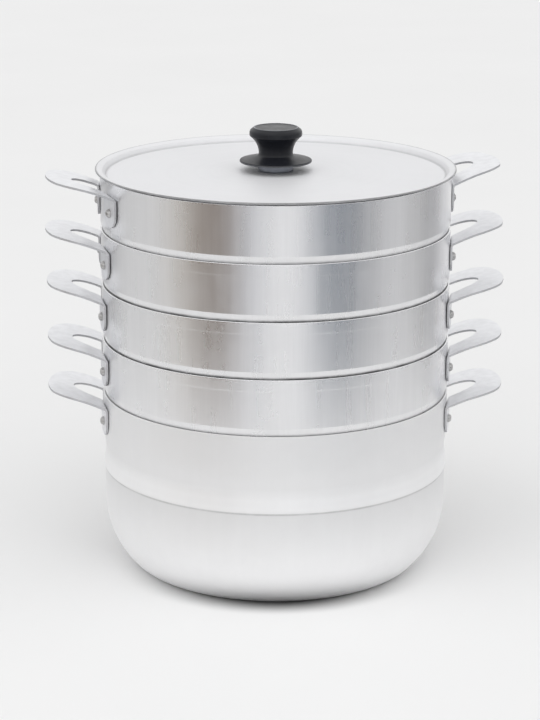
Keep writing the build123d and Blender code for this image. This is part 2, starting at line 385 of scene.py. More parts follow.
def wear_light_shade_ring():
    """A ring mask for wear, painted highlights and painted shade: exp(-((z - Height) / Width)^2), broken up
    by noise as far as Broken says.
    """
    if "wear_light_shade_ring" in bpy.data.node_groups:
        return bpy.data.node_groups["wear_light_shade_ring"]
    inputs = {"Vector": None, "Height": 0.0, "Width": 0.001, "Broken": 1.0}
    tree, given, out = new_group("wear_light_shade_ring", inputs, ["Mask"])
    s = Shading(tree)
    z = s.parts(given["Vector"])["Z"]
    away = s.math("DIVIDE", s.math("SUBTRACT", z, given["Height"]), given["Width"])
    bell = s.math("EXPONENT", s.math("MULTIPLY", s.math("MULTIPLY", away, away), -1.0))
    gone = s.spread(s.noise(given["Vector"], 70.0, 4.0, 0.65), 0.6, 0.35)
    kept = s.math("SUBTRACT", 1.0, s.math("MULTIPLY", gone, given["Broken"]))
    s.tree.links.new(s.math("MULTIPLY", bell, kept), out["Mask"])
    return tree


def metal_grain():
    """The fine even grain of a tumbled or etched surface."""
    if "metal_grain" in bpy.data.node_groups:
        return bpy.data.node_groups["metal_grain"]
    tree, given, out = new_group("metal_grain", {"Vector": None, "Scale": 2500.0}, ["Grain", "Mottle"])
    s = Shading(tree)
    s.tree.links.new(s.noise(given["Vector"], given["Scale"], 2.0, 0.6), out["Grain"])
    s.tree.links.new(s.spread(s.noise(given["Vector"], 140.0, 3.0), 0.35, 0.65), out["Mottle"])
    return tree


def start_material(name, metallic, specular=0.5):
    """A material with a Principled shader, and its object coordinates and normal."""
    material = bpy.data.materials.new(name)
    material.use_nodes = True
    material.node_tree.nodes.clear()
    s = Shading(material.node_tree)
    shader = s.add("ShaderNodeBsdfPrincipled", {"Metallic": metallic, "Specular IOR Level": specular})
    output = s.add("ShaderNodeOutputMaterial", {"Surface": shader.outputs[0]})
    output.is_active_output = True
    place_in = s.add("ShaderNodeTexCoord").outputs
    return material, s, shader, place_in["Object"], place_in["Normal"]


def use_group(s, tree, inputs):
    return s.add("ShaderNodeGroup", inputs, node_tree=tree).outputs


def bump(s, shader, height, depth, strength=1.0):
    node = s.add("ShaderNodeBump", {"Height": height, "Distance": depth, "Strength": strength})
    s.tree.links.new(node.outputs[0], shader.inputs["Normal"])


def shade(tone, amount):
    """The colour made lighter or darker by a factor, with alpha 1."""
    return tuple(min(1.0, part * amount) for part in tone) + (1.0,)


def drawn_aluminium(
    name, tone, rough, seed, rim, streak=1.0, fineness=700.0, rings=(), painted_shading=(), metallic=1.0
):
    """Drawn sheet: streaks up the wall, wipe marks, fine scratches, a rubbed rim that is also a painted
    highlight, and rings of painted shade.

    A ring of painted shade is its axis (Z for a height, R for a radius), its place, its width, how dark
    it is and how broken. The painted shading is rows of height and tone, with straight changes between
    them.
    """
    material, s, shader, point, normal = start_material(name, metallic)
    streaks = use_group(
        s, drawn_streaks(), {"Vector": point, "Normal": normal, "Seed": seed, "Fineness": fineness}
    )
    marks = use_group(s, handling_marks(), {"Vector": point, "Seed": seed})
    # the rubbed rim is lighter: wear on the rim, and a painted highlight along it
    wear_and_highlight = use_group(s, wear_light_shade_ring(), {"Vector": point, "Height": rim, "Width": 0.0012})["Mask"]
    base = s.blend(streaks["Broad"], shade(tone, 1 - 0.05 * streak), shade(tone, 1 + 0.02 * streak))
    fine = s.math("MULTIPLY", streaks["Fine"], 0.35 * streak)
    base = s.blend(fine, base, shade(tone, 0.93))
    base = s.blend(s.math("MULTIPLY", marks["Smudge"], 0.25), base, shade(tone, 0.94))
    base = s.blend(s.math("MULTIPLY", marks["Scratch"], 0.06), base, shade(tone, 1.08))
    base = s.blend(s.math("MULTIPLY", wear_and_highlight, 0.25), base, shade(tone, 1.1))
    flat = s.vector("LENGTH", s.vector("MULTIPLY", point, (1.0, 1.0, 0.0)))
    x, y, z = s.parts(point)
    by_radius = s.add("ShaderNodeCombineXYZ", {"X": x, "Y": y, "Z": flat}).outputs[0]
    # each ring darkens the colour: painted shade in creases, seats and edges
    for axis, where, width, dark, broken in rings:
        place_of = {"Vector": point if axis == "Z" else by_radius, "Height": where, "Width": width}
        painted_shade = use_group(s, wear_light_shade_ring(), {**place_of, "Broken": broken})["Mask"]
        base = s.blend(s.math("MULTIPLY", painted_shade, dark), base, shade(tone, 0.06))
    # painted light and shade by height: the colour is multiplied by a ramp over Z
    if painted_shading:
        top = painted_shading[-1][0]
        ramp = s.add("ShaderNodeValToRGB", {0: s.math("DIVIDE", z, top)})
        stops = ramp.color_ramp.elements
        stops[0].color, stops[1].color = (painted_shading[0][1],) * 3 + (1.0,), (painted_shading[-1][1],) * 3 + (1.0,)
        for height, amount in painted_shading[1:-1]:
            stops.new(height / top).color = (amount,) * 3 + (1.0,)
        base = s.blend(1.0, base, ramp.outputs[0], "MULTIPLY")
    s.tree.links.new(base, shader.inputs["Base Color"])
    cloudy = s.math("MULTIPLY_ADD", marks["Smudge"], 0.05, rough)
    striped = s.math("MULTIPLY_ADD", streaks["Broad"], 0.04 * streak, cloudy)
    rubbed = s.math("MULTIPLY_ADD", wear_and_highlight, -0.08, striped)
    s.tree.links.new(rubbed, shader.inputs["Roughness"])
    bump(s, shader, streaks["Height"], 0.00003 * streak, 0.5)
    return material


def stamped_aluminium(name, tone, rough):
    """Tumbled strip: fine grain, mottle and light scratches."""
    material, s, shader, point, _ = start_material(name, 1.0)
    grain = use_group(s, metal_grain(), {"Vector": point, "Scale": 2600.0})
    marks = use_group(s, handling_marks(), {"Vector": point, "Seed": 3.1})
    base = s.blend(grain["Mottle"], shade(tone, 0.96), shade(tone, 1.03))
    base = s.blend(s.math("MULTIPLY", marks["Scratch"], 0.3), base, shade(tone, 0.86))
    s.tree.links.new(base, shader.inputs["Base Color"])
    s.tree.links.new(s.math("MULTIPLY_ADD", marks["Smudge"], 0.08, rough), shader.inputs["Roughness"])
    height = s.math("MULTIPLY_ADD", marks["Scratch"], -0.6, grain["Grain"])
    bump(s, shader, height, 0.00002, 0.6)
    return material


def moulded_plastic(name, tone, rough, rubbed):
    """Black phenolic moulding: a faint grain, grey bloom, hair scratches and grey rubbed edges that also
    paint highlights.

    A rubbed edge, grey wear and painted highlight in one, is its height, its width and how grey it is.
    """
    material, s, shader, point, _ = start_material(name, 0.0, 0.32)
    grain = use_group(s, metal_grain(), {"Vector": point, "Scale": 1800.0})
    marks = use_group(s, handling_marks(), {"Vector": point, "Seed": 8.7})
    base = s.blend(s.math("MULTIPLY", marks["Smudge"], 0.5), shade(tone, 1.0), shade(tone, 1.9))
    base = s.blend(s.math("MULTIPLY", marks["Scratch"], 0.5), base, shade(tone, 4.0))
    for where, width, grey in rubbed:
        place_of = {"Vector": point, "Height": where, "Width": width, "Broken": 0.35}
        wear_and_highlight = use_group(s, wear_light_shade_ring(), place_of)["Mask"]
        base = s.blend(s.math("MULTIPLY", wear_and_highlight, grey), base, (0.25, 0.26, 0.28, 1.0))
    s.tree.links.new(base, shader.inputs["Base Color"])
    rough_now = s.math("MULTIPLY_ADD", grain["Mottle"], 0.06, rough)
    s.tree.links.new(s.math("MULTIPLY_ADD", marks["Smudge"], 0.08, rough_now), shader.inputs["Roughness"])
    bump(s, shader, grain["Grain"], 0.00003, 0.5)
    return material


def turned_metal(name, tone, rough):
    """Small turned or plated metal: rings about the axis, grain and spots."""
    material, s, shader, point, normal = start_material(name, 1.0)
    streaks = use_group(s, drawn_streaks(), {"Vector": point, "Normal": normal, "Fineness": 2200.0})
    grain = use_group(s, metal_grain(), {"Vector": point, "Scale": 3000.0})
    base = s.blend(grain["Mottle"], shade(tone, 0.92), shade(tone, 1.05))
    s.tree.links.new(base, shader.inputs["Base Color"])
    s.tree.links.new(s.math("MULTIPLY_ADD", streaks["Fine"], 0.1, rough), shader.inputs["Roughness"])
    bump(s, shader, streaks["Height"], 0.00002, 0.4)
    return material


# Outlines of the vessels


def pot_outline(sizes):
    """The pot's skin from the middle of its base, over the rim and down its inside."""
    wall, sheet, top = sizes.wall_radius / MM, sizes.sheet / MM, sizes.pot_height / MM
    lower, inner, shelf = wall - CREASE_DEPTH, wall - sheet, CREASE + sheet
    belly, heel, turn = BELLY_RADIUS, HEEL_RADIUS, BELLY_TURN
    knuckle = math.sin(math.radians(turn))
    belly_top = belly * knuckle + heel * (1 - knuckle)
    heel_centre = (lower - belly + (belly - heel) * knuckle, heel)
    outside = [
        [(0, 0), (heel_centre[0] - 0.5, 0)],
        arc(heel_centre, heel, -90, -turn, 12),
        arc((lower - belly, belly_top), belly, -turn, 0, 28),
    ]
    band = [
        (lower, belly_top),
        (lower, CREASE),
        (wall, CREASE),
        (wall, LIP_TOP),
        (wall - WAIST_DEPTH, WAIST),
        (wall, BAND_FOOT),
        (wall, top),
        (inner, top),
        (inner, BAND_FOOT),
        (inner - WAIST_DEPTH, WAIST),
        (inner, LIP_TOP),
        (inner, shelf),
        (lower - sheet, shelf),
        (lower - sheet, belly_top),
    ]
    radii = [0.25, 0.7, 24, 30, 90, 0.55, 0.55, 90, 30, 24, 0.7, 0.25]
    inside = [
        arc((lower - belly, belly_top), belly - sheet, 0, -turn, 28),
        arc(heel_centre, heel - sheet, -turn, -90, 12),
        [(heel_centre[0] - 0.5, sheet), (0, sheet)],
    ]
    return np.concatenate(outside + [rounded(band, radii)] + inside)


def tier_outline(sizes):
    """A tier's skin from its floor's edge, over the rim and back; the rim is at height 0."""
    wall, sheet, tall = sizes.wall_radius / MM, sizes.sheet / MM, sizes.tier_height / MM
    inner, base = wall - sheet, -tall - SPIGOT
    corners = [
        (FLOOR_EDGE, base),
        (SEAT_FOOT, base),
        (wall, SHOULDER - tall),
        (wall, -BAND_DEPTH - 1),
        (wall + BAND_SWELL, -BAND_DEPTH),
        (wall + BAND_SWELL, 0),
        (inner, 0),
        (inner, SHOULDER + 0.2 - tall),
        (SEAT_FOOT - 1.15, base + sheet),
        (FLOOR_EDGE, base + sheet),
    ]
    return rounded(corners, [3.6, 2.6, 3.0, 3.0, 0.5, 0.5, 1.6, 2.2])


def hole_cell(inner, outer, hole_at, hole, span, steps, base, sheet):
    """One cell of a pierced floor: a sector with a round hole, its top, bottom and wall.

    Rows run from the sector's border in to the hole's top edge, down the hole's wall and
    out to the border again: border + t (hole - border), with the hole's point at the same
    bearing from the hole's centre as the border's.
    """
    half, side_steps = math.radians(span) / 2, 16
    sweep = np.linspace(-half, half, steps + 1)
    side = np.linspace(inner, outer, side_steps + 1)
    bottom, top = np.full(steps, inner), np.full(steps, outer)
    up, down = np.full(side_steps, half), np.full(side_steps, -half)
    radius = np.concatenate([bottom, side[:-1], top, side[:0:-1]])
    angle = np.concatenate([sweep[:-1], up, sweep[:0:-1], down])
    border = np.stack([radius * np.cos(angle), radius * np.sin(angle)], axis=-1)
    centre = np.array([hole_at, 0.0])
    out = border - centre
    out /= np.linalg.norm(out, axis=-1, keepdims=True)
    soft = 0.45
    # (share of the way from the hole's edge to the border, offset from the hole, height)
    rows = [
        (1.0, soft, sheet),
        (0.5, soft, sheet),
        (0.12, soft, sheet),
        (0.0, soft, sheet),
        (0.0, 0.3 * soft, sheet - 0.3 * soft),
        (0.0, 0.0, sheet - soft),
        (0.0, 0.0, 0.25),
        (0.0, 0.1, 0.06),
        (0.0, 0.3, 0.0),
        (0.12, 0.3, 0.0),
        (0.5, 0.3, 0.0),
        (1.0, 0.3, 0.0),
    ]
    share, offset, height = (np.array(part)[:, None, None] for part in zip(*rows))
    edge = centre + out[None] * (hole + offset)
    flat = edge + share * (border[None] - edge)
    points = np.concatenate([flat, base + height + 0 * flat[..., :1]], axis=-1) * MM
    return points.reshape(-1, 3), grid_faces(len(rows), len(border), loop_columns=True)


def tier_patches(sizes):
    """A tier with its rim at height 0: the wall, the floor's middle and eighteen cells."""
    sheet, hole = sizes.sheet / MM, sizes.steam_hole / MM
    base = -sizes.tier_height / MM - SPIGOT
    inner_cell = hole_cell(FLOOR_BOSS, RING_BORDER, INNER_RING, hole, 60, 32, base, sheet)
    outer_cell = hole_cell(RING_BORDER, FLOOR_EDGE, OUTER_RING, hole, 30, 16, base, sheet)
    patches = [
        turned(tier_outline(sizes)),
        turned([(0, base + sheet), (FLOOR_BOSS, base + sheet)]),
        turned([(0, base), (FLOOR_BOSS, base)]),
    ]
    patches += [spun(inner_cell, 60 * step) for step in range(6)]
    patches += [spun(outer_cell, 30 * step) for step in range(12)]
    return patches


def lid_outline(sizes):
    """The lid's panel and rolled-out lip; the seat on the top rim is at height 0."""
    sheet, boss, trough = sizes.sheet / MM, -LID_BOSS, -LID_TROUGH
    corners = [
        (0, boss),
        (19, boss),
        (145.3, trough),
        (148.3, 0),
        (LIP_EDGE, LIP_RISE),
        (LIP_EDGE - 0.3, LIP_RISE + sheet),
        (147.6, sheet),
        (144.6, trough + sheet),
        (19.2, boss + sheet),
        (0, boss + sheet),
    ]
    return rounded(corners, [30, 1.2, 1.6, 0.6, 0.6, 2.6, 1.6, 30])


def knob_outline():
    """Flange, narrow neck, a flare up to the round head and a shallow dished crown."""
    flange = rounded([(0, 0), (30.8, 0), (30.8, 1.8), (18.0, 4.4)], [0.5, 0.85], steps=8)
    neck = arc((17.1, 7.6), 2.5, -106, -180, 8)
    flare = arc((32.4, 7.6), 17.8, 180, 128, 22)
    corners = [(21.44, 21.63), (22.45, 22.6), (22.45, 26.9), (18.6, 30.0), (17.4, 29.3), (0, 29.3)]
    head = rounded(corners, [1.6, 3.4, 0.9, 0.8], steps=9)
    return np.concatenate([flange, neck, flare, head[1:]])


def handle_patch(sizes, reach):
    """The outer face of a folded handle strip, for a rim at height 0 on the +X side.

    The strip is a grid (row, w). A foot's rows run up the tangent plane of the wall, the
    bend's rows are an arc about the fold line, and the grip's rows join an inner
    half-ellipse to the outer edge: (1 - s) inner + s outer. By its length g the outer edge
    is a straight side, the corner's arc of radius c that turns it by 90 - q degrees, and the
    tip's arc of radius t over the last q, where sin q = (half width - c) / (t - c). The grip
    rises with its distance u from the wall as slope u - bow (u - 5)^2, less its fold's depth.
    The other half is the same with Y turned over.
    """
    wall, reach = sizes.wall_radius / MM + FOOT_GAP, reach / MM
    half_width = SLOT_HALF + FOOT_WIDTH
    alpha = math.asin((SLOT_HALF + FOOT_WIDTH / 2) / sizes.wall_radius * MM)
    tilt = math.atan(GRIP_SLOPE)
    out = np.array([math.cos(alpha), math.sin(alpha), 0])
    lift = np.array([-math.sin(tilt), 0, math.cos(tilt)])
    fold = np.cross(lift, out)
    fold /= np.linalg.norm(fold)
    along_grip, along_foot = np.cross(fold, lift), np.cross(fold, out)
    along_grip *= np.sign(along_grip[0])
    along_foot *= -np.sign(along_foot[2])

    share = np.sin(np.linspace(-math.pi / 2, math.pi / 2, 13))
    across = (share + 1) / 2
    y = SLOT_HALF + across * FOOT_WIDTH

    def from_fold(away):
        """Points at an offset from the fold line whose plan width stays the strip's."""
        line_y = y - away[..., 1]
        line_x = (wall - line_y * out[1]) / out[0]
        line_z = (line_x - wall) * math.tan(tilt) - FOLD_DEPTH
        return np.stack([line_x, line_y, line_z], axis=-1) + away

    angle = math.acos(np.clip(along_grip @ along_foot, -1, 1))
    touch = FOLD_RADIUS / math.tan(angle / 2)
    between = (along_grip + along_foot) / np.linalg.norm(along_grip + along_foot)
    centre = between * FOLD_RADIUS / math.sin(angle / 2)
    a, b = along_foot * touch - centre, along_grip * touch - centre
    w = math.pi - angle
    t = np.linspace(0, 1, 9)[:, None, None]
    fan = centre + (np.sin((1 - t) * w) * a + np.sin(t * w) * b) / math.sin(w)
    bend_rows = from_fold(np.broadcast_to(fan, (9, 13, 3)))

    foot_end = FOOT_DEPTH - FOOT_WIDTH / 2
    first = bend_rows[0]
    t = np.linspace(1, 0, 7, endpoint=False)[:, None]
    low = first.copy()
    low[:, 2] = -foot_end
    foot_rows = low + t[..., None] * (first - low)
    foot_rows = foot_rows[::-1]
    v = np.linspace(1, 0, 6, endpoint=False)[:, None]
    end_rows = np.repeat(low[None], 6, axis=0)
    end_rows[..., 2] -= v * FOOT_WIDTH / 2 * np.sqrt(np.clip(1 - share**2, 0, 1))

    start_inner, start_outer = bend_rows[-1][0], bend_rows[-1][-1]
    s = np.linspace(0, 1, 40)[1:, None]
    slot_x = sizes.wall_radius / MM + SLOT_FROM
    begin = math.asin(np.clip((start_inner[0] - slot_x) / SLOT_LONG, -1, 1))
    turn = begin + (math.pi / 2 - begin) * s
    inner = np.concatenate([slot_x + SLOT_LONG * np.sin(turn), SLOT_HALF * np.cos(turn)], axis=-1)
    tip_turn = math.asin((half_width - GRIP_CORNER) / (GRIP_TIP - GRIP_CORNER))
    tip_x = sizes.wall_radius / MM + reach - GRIP_TIP
    corner_x = tip_x + (GRIP_TIP - GRIP_CORNER) * math.cos(tip_turn)
    side, bow = corner_x - start_outer[0], GRIP_CORNER * (math.pi / 2 - tip_turn)
    gone = s * (side + bow + GRIP_TIP * tip_turn)
    round_turn = math.pi / 2 - np.clip((gone - side) / GRIP_CORNER, 0, math.pi / 2 - tip_turn)
    flat_turn = np.clip(tip_turn - (gone - side - bow) / GRIP_TIP, 0, tip_turn)
    round_x = corner_x + GRIP_CORNER * np.cos(round_turn)
    round_y = half_width - GRIP_CORNER + GRIP_CORNER * np.sin(round_turn)
    tip_end_x, tip_end_y = tip_x + GRIP_TIP * np.cos(flat_turn), GRIP_TIP * np.sin(flat_turn)
    beyond_side = np.where(gone < side + bow, round_x, tip_end_x)
    outer_x = np.where(gone < side, start_outer[0] + gone, beyond_side)
    outer_y = np.where(gone < side + bow, round_y, tip_end_y)
    outer = np.concatenate([outer_x, outer_y], axis=-1)
    plan = inner[:, None] + across[None, :, None] * (outer - inner)[:, None]
    away = plan[..., :1] - wall
    height = away * GRIP_SLOPE - GRIP_BOW * np.clip(away - 5, 0, None) ** 2 - FOLD_DEPTH
    grip_rows = np.concatenate([plan, height], axis=-1)

    half = np.concatenate([end_rows, low[None], foot_rows, bend_rows[1:], grip_rows])
    other = half[:-1][::-1] * np.array([1, -1, 1])
    points = np.concatenate([half, other]) * MM
    return points.reshape(-1, 3), grid_faces(len(points), 13)


def rivet_outline():
    """A tall head round the hole that its mandrel left, and a stem that ends inside the wall."""
    corners = [
        (0, -1.5),
        (1.1, -1.5),
        (1.25, 2.5),
        (1.9, 2.95),
        (3.1, 2.1),
        (3.8, 0.7),
        (3.8, 0),
        (2.2, 0),
        (2.2, -4.0),
        (0, -4.0),
    ]
    return rounded(corners, [0.2, 0.25, 0.3, 0.8, 0.3, 0.12, 0.2, 0.4], steps=5, lead=0.1)


def screw_patch(face, tip):
    """A pan-headed screw from its crown down to the tip of its shank, both on the axis."""
    corners = [
        (0, face - 3.2),
        (3.4, face - 3.1),
        (5.0, face - 1.6),
        (5.0, face),
        (2.5, face),
        (2.5, tip - 0.6),
        (1.9, tip),
        (0, tip),
    ]
    return turned(rounded(corners, [1.5, 0.9, 0.2, 0.2, 0.1, 0.1], steps=5, lead=0.1), 48)


def wall_frames(angles, radius, height):
    """Rotations (columns: along the wall, up, outward) and origins at the given angles."""
    a = np.radians(angles)
    outward = np.stack([np.cos(a), np.sin(a), 0 * a], axis=-1)
    along = np.stack([-np.sin(a), np.cos(a), 0 * a], axis=-1)
    up = np.broadcast_to([0.0, 0.0, 1.0], outward.shape)
    origin = outward * radius + up * height
    return np.stack([along, up, outward], axis=-1), origin


# Operators


def rim_height(sizes, level):
    return sizes.pot_height + level * sizes.tier_height


def vessel_name(level):
    return f"tier_{level}" if level else "pot"


def handle_lift(level):
    return 0 if level else POT_HANDLE_LIFT * MM


class STEAMER_OT_pot(bpy.types.Operator):
    """Build the pot's pressed body"""

    bl_idname = "steamer.pot"
    bl_label = "Pot"

    def execute(self, context):
        sizes, finish = context.scene.steamer_sizes, context.scene.steamer_finish
        mesh = make_mesh("pot_shell", [turned(pot_outline(sizes))])
        metal = drawn_aluminium(
            "pot_aluminium",
            finish.pot,
            finish.pot_gloss,
            1.7,
            sizes.pot_height,
            streak=0.2,
            fineness=900.0,
            # a ring of painted shade along the crease, under its overhang
            rings=(("Z", 0.0876, 0.0009, 0.36, 0.3),),
            painted_shading=POT_PAINTED_SHADING,
        )
        place("pot_shell", mesh, metal, "pot", ["pot_body"])
        return {"FINISHED"}


class STEAMER_OT_tiers(bpy.types.Operator):
    """Build the four pierced tiers"""

    bl_idname = "steamer.tiers"
    bl_label = "Tiers"

    def execute(self, context):
        sizes, finish = context.scene.steamer_sizes, context.scene.steamer_finish
        for level in TIERS:
            rim = rim_height(sizes, level)
            patches = [spun(raised(patch, rim), TURNS[level]) for patch in tier_patches(sizes)]
            name = f"tier_{level}_shell"
            metal = drawn_aluminium(
                f"tier_{level}_aluminium",
                finish.tier,
                finish.tier_gloss,
                2.3 * level,
                rim,
                # painted shade in the seat, where this tier's cone meets the rim below
                rings=(("Z", rim - sizes.tier_height + 0.0006, 0.0012, SEAT_SHADE[level - 1], 0.35),),
            )
            mesh = make_mesh(name, patches)
            place(name, mesh, metal, f"tier_{level}", [f"tier_{level}_dish"])
        return {"FINISHED"}


class STEAMER_OT_handles(bpy.types.Operator):
    """Fold the stamped handle strips, two on each vessel"""

    bl_idname = "steamer.handles"
    bl_label = "Handles"

    def execute(self, context):
        sizes, finish = context.scene.steamer_sizes, context.scene.steamer_finish
        metal = stamped_aluminium("handle_aluminium", finish.handle, finish.handle_gloss)
        # the strip's cut edges take a material 0.7 times as light: painted shade along the edges
        edge_shade_metal = stamped_aluminium("handle_edge_shade", tuple(part * 0.7 for part in finish.handle), 0.5)
        for level in (0,) + TIERS:
            patch = handle_patch(sizes, sizes.grip_reach if level else sizes.pot_grip_reach)
            rim = rim_height(sizes, level) + handle_lift(level)
            vessel = vessel_name(level)
            for side, turn in SIDES.items():
                placed = spun(raised(patch, rim), turn + TURNS[level])
                name = f"{vessel}_grip_{side}"
                mesh = make_mesh(name, [placed], outward=False)
                grip = place(name, mesh, metal, vessel, [f"{vessel}_handle_{side}"])
                wall = grip.modifiers.new("plate", "SOLIDIFY")
                wall.thickness = sizes.plate
                wall.offset = -1.0
                wall.material_offset_rim = 1
                mesh.materials.append(edge_shade_metal)
                edge = grip.modifiers.new("stamped_edge", "BEVEL")
                edge.width = 0.00028
                edge.segments = 2
                edge.limit_method = "ANGLE"
                edge.angle_limit = math.radians(50)
                edge.harden_normals = True
        return {"FINISHED"}


class STEAMER_OT_rivets(bpy.types.Operator):
    """Set the rivets, four on each vessel"""

    bl_idname = "steamer.rivets"
    bl_label = "Rivets"

    def execute(self, context):
        sizes, finish = context.scene.steamer_sizes, context.scene.steamer_finish
        metal = turned_metal("rivet_aluminium", finish.rivet, 0.24)
        points, faces = turned(rivet_outline(), 40)
        foot = math.degrees(math.asin((SLOT_HALF + FOOT_WIDTH / 2) * MM / sizes.wall_radius))
        front = sizes.wall_radius + FOOT_GAP * MM + sizes.plate
        for level in (0,) + TIERS:
            height = rim_height(sizes, level) - RIVET_DEPTH * MM + handle_lift(level)
            angles = [TURNS[level] + side + sign * foot for side in (0, 180) for sign in (-1, 1)]
            turns, origins = wall_frames(np.array(angles), front, height)
            heads = [(points @ turn.T + origin, faces) for turn, origin in zip(turns, origins)]
            vessel = vessel_name(level)
            mesh = make_mesh(f"{vessel}_rivet_heads", heads)
            place(f"{vessel}_rivet_heads", mesh, metal, vessel, [f"{vessel}_rivets"])
        return {"FINISHED"}


class STEAMER_OT_lid(bpy.types.Operator):
    """Build the lid's panel and lip"""

    bl_idname = "steamer.lid"
    bl_label = "Lid"

    def execute(self, context):
        sizes, finish = context.scene.steamer_sizes, context.scene.steamer_finish
        seat = rim_height(sizes, TIERS[-1]) + SEAT_GAP * MM
        mesh = make_mesh("lid_panel", [raised(turned(lid_outline(sizes)), seat)])
        metal = drawn_aluminium(
            "lid_aluminium",
            finish.lid,
            finish.lid_gloss,
            5.9,
            seat + 0.003,
            streak=0.5,
            fineness=500.0,
            # rings of painted shade at the panel's trough and at the lip's edge
            rings=(("R", 0.1447, 0.0009, 0.28, 0.2), ("R", 0.1536, 0.0009, 0.6, 0.2)),
            metallic=0.3,
        )
        place("lid_panel", mesh, metal, "lid", ["lid_disc"])
        return {"FINISHED"}


class STEAMER_OT_knob(bpy.types.Operator):
    """Build the knob with its collar, washer and screw"""

    bl_idname = "steamer.knob"
    bl_label = "Knob"

    def execute(self, context):
        sizes, finish = context.scene.steamer_sizes, context.scene.steamer_finish
        boss = rim_height(sizes, TIERS[-1]) / MM + SEAT_GAP - LID_BOSS
        top = boss + sizes.sheet / MM
        base = top + SPACER_HEIGHT
        foot = base * MM
        # grey rings on the crown's ridge and the flange's edge: rubbed wear and painted highlights
        rubbed_and_highlit_edges = ((foot + 0.0298, 0.0002, 1.0), (foot + 0.0006, 0.0006, 0.5))
        black = moulded_plastic("knob_plastic", finish.knob, finish.knob_gloss, rubbed_and_highlit_edges)
        mesh = make_mesh("knob_moulding", [raised(turned(knob_outline(), 128), foot)])
        place("knob_moulding", mesh, black, "lid", ["knob"])

        grey = turned_metal("collar_metal", finish.collar, 0.3)
        ring = rounded([(0, top), (SPACER_RADIUS, top), (SPACER_RADIUS, base), (0, base)], [0.7, 0.7])
        mesh = make_mesh("knob_spacer", [turned(ring, 128)])
        place("knob_spacer", mesh, grey, "lid", ["knob_collar"])

        zinc = turned_metal("screw_steel", finish.screw, 0.28)
        face = boss - WASHER_THICK
        plain = [
            (SCREW_HOLE, boss),
            (WASHER_RADIUS, boss),
            (WASHER_RADIUS, face),
            (SCREW_HOLE, face),
            (SCREW_HOLE, boss),
        ]
        mesh = make_mesh("screw_washer", [turned(rounded(plain, [0.3, 0.3, 0.2], steps=5, lead=0.1), 64)])
        place("screw_washer", mesh, zinc, "lid", ["knob_washer"])
        mesh = make_mesh("lid_screw", [screw_patch(face, base + SCREW_REACH)])
        place("lid_screw", mesh, zinc, "lid", ["knob_screw"])
        return {"FINISHED"}


class STEAMER_OT_studio(bpy.types.Operator):
    """Lay the floor, set the lights and aim the camera"""

    bl_idname = "steamer.studio"
    bl_label = "Studio"

    def execute(self, context):
        scene, studio = context.scene, context.scene.steamer_studio
        lay_floor(scene, studio)
        light_surround(scene, studio)
        hang_softbox(scene, studio)
        aim_camera(scene)
        scene.view_settings.view_transform = "Standard"
        return {"FINISHED"}


def lay_floor(scene, studio):
    """A wide white floor with a painted shadow: a dark ring, strongest towards the front, where the pot's
    heel shuts the light out.

    Reflections see only the white table in the floor's middle, with a soft edge.
    """
    mesh = bpy.data.meshes.new("studio_floor")
    far = 14.0
    mesh.from_pydata([(-far, -far, 0), (far, -far, 0), (far, far, 0), (-far, far, 0)], [], [(0, 1, 2, 3)])
    floor = bpy.data.objects.new("studio_floor", mesh)
    scene.collection.objects.link(floor)
    material = bpy.data.materials.new("floor_paper")
    material.use_nodes = True
    material.node_tree.nodes.clear()
    s = Shading(material.node_tree)
    point = s.add("ShaderNodeTexCoord").outputs["Object"]
    mottle = s.spread(s.noise(point, 3.0, 4.0), 0.3, 0.7)
    tone = s.blend(mottle, shade(studio.floor, 0.99), shade(studio.floor, 1.005))
    radius = s.vector("LENGTH", point)
    # painted shadow: the floor darkens in a ring under the pot's heel, most towards the front
    shut = s.ease(radius, 0.152, 0.12)
    ahead = s.math("MULTIPLY", s.parts(point)["Y"], -1.0)
    towards_front = s.math("MAXIMUM", s.math("DIVIDE", ahead, radius), 0.0)
    painted_contact_shadow = s.math("MULTIPLY", shut, s.math("POWER", towards_front, 3.0))
    tone = s.blend(s.math("MULTIPLY", painted_contact_shadow, 0.9), tone, shade(studio.floor, 0.06))
    paper = s.add("ShaderNodeBsdfDiffuse", {"Color": tone}).outputs[0]
    clear = s.add("ShaderNodeBsdfTransparent").outputs[0]
    beyond = s.ease(radius, 0.55, 1.0)
    seen = s.add("ShaderNodeLightPath").outputs["Is Camera Ray"]
    open_part = s.math("MULTIPLY", beyond, s.math("SUBTRACT", 1.0, seen))
    mixed = s.add("ShaderNodeMixShader", {0: open_part, 1: paper, 2: clear}).outputs[0]
    s.add("ShaderNodeOutputMaterial", {"Surface": mixed})
    mesh.materials.append(material)


# The surround by compass bearing: 0 is towards the camera, positive to its right-hand side
BEARINGS = (
    (-180, (0.80, 0.80, 0.80)),
    (-160, (0.734, 0.734, 0.734)),
    (-138, (0.396, 0.396, 0.406)),
    (-118, (0.66, 0.66, 0.66)),
    (-85, (0.699, 0.699, 0.699)),
    (-62, (0.575, 0.54, 0.495)),
    (-48, (0.165, 0.12, 0.088)),
    (-32, (0.19, 0.148, 0.12)),
    (-16, (0.612, 0.625, 0.66)),
    (0, (0.893, 0.893, 0.893)),
    (14, (0.918, 0.918, 0.929)),
    (30, (0.294, 0.316, 0.35)),
    (46, (0.202, 0.224, 0.258)),
    (62, (0.415, 0.418, 0.428)),
    (82, (0.678, 0.678, 0.689)),
    (104, (0.52, 0.52, 0.52)),
    (122, (0.362, 0.362, 0.373)),
    (142, (0.775, 0.775, 0.785)),
    (160, (0.92, 0.92, 0.92)),
    (180, (0.80, 0.80, 0.80)),
)


SKY_AT = (0.0, -0.42, 0.907)  # the middle of the soft light that falls on the floor


